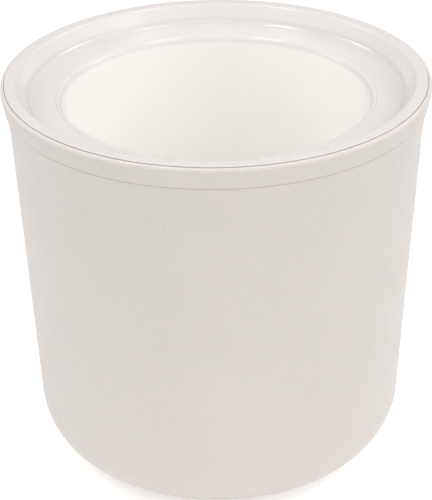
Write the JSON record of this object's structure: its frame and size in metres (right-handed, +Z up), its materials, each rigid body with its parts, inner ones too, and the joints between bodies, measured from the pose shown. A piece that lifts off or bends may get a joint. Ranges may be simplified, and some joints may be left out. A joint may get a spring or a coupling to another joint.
{
  "type": "insulated yogurt maker",
  "caption": "Round double-walled insulated yogurt maker, open at the top, with a flared rim band, a recessed lid seat and a lift-out pot.",
  "frame": {"origin": "centre of the base, in the plane of the feet's undersides, where the container stands on a table", "axes": "+Z up along the container's axis, out of its open top; -Y towards the viewer of the picture; +X to the viewer's right"},
  "size_m": [0.2, 0.2, 0.1934],
  "materials": {
    "shell_plastic": "matte",
    "collar_plastic": "satin",
    "pot_plastic": "satin",
    "liner_plastic": "satin",
    "foam": "matte",
    "foil": "gloss",
    "silicone": "satin",
    "foot_rubber": "matte",
    "screw_steel": "satin"
  },
  "bodies": {
    "container": {"outer_shell": "shell_plastic", "rim_collar": "collar_plastic", "inner_liner": "liner_plastic", "shell_seal_ring": "silicone", "liner_seal_ring": "silicone", "pot_seat_ring": "silicone", "pot_rest_pad_1": "silicone", "pot_rest_pad_2": "silicone", "pot_rest_pad_3": "silicone", "reflective_sleeve": "foil", "reflective_disc": "foil", "foam_base_disc": "foam", "foam_half_left": "foam", "foam_half_right": "foam", "base_screw_1": "screw_steel", "base_screw_2": "screw_steel", "base_screw_3": "screw_steel", "base_screw_4": "screw_steel", "screw_washer_1": "silicone", "screw_washer_2": "silicone", "screw_washer_3": "silicone", "screw_washer_4": "silicone", "flange_screw_1": "screw_steel", "flange_screw_2": "screw_steel", "flange_screw_3": "screw_steel", "flange_screw_4": "screw_steel", "foot_front_left": "foot_rubber", "foot_front_right": "foot_rubber", "foot_rear_left": "foot_rubber", "foot_rear_right": "foot_rubber"},
    "pot": {"yogurt_pot": "pot_plastic"}
  },
  "joints": [
    {"name": "lift_pot", "type": "slide", "parent": "container", "child": "pot", "axis": [0, 0, 1], "range_m": [0, 0.175]}
  ]
}
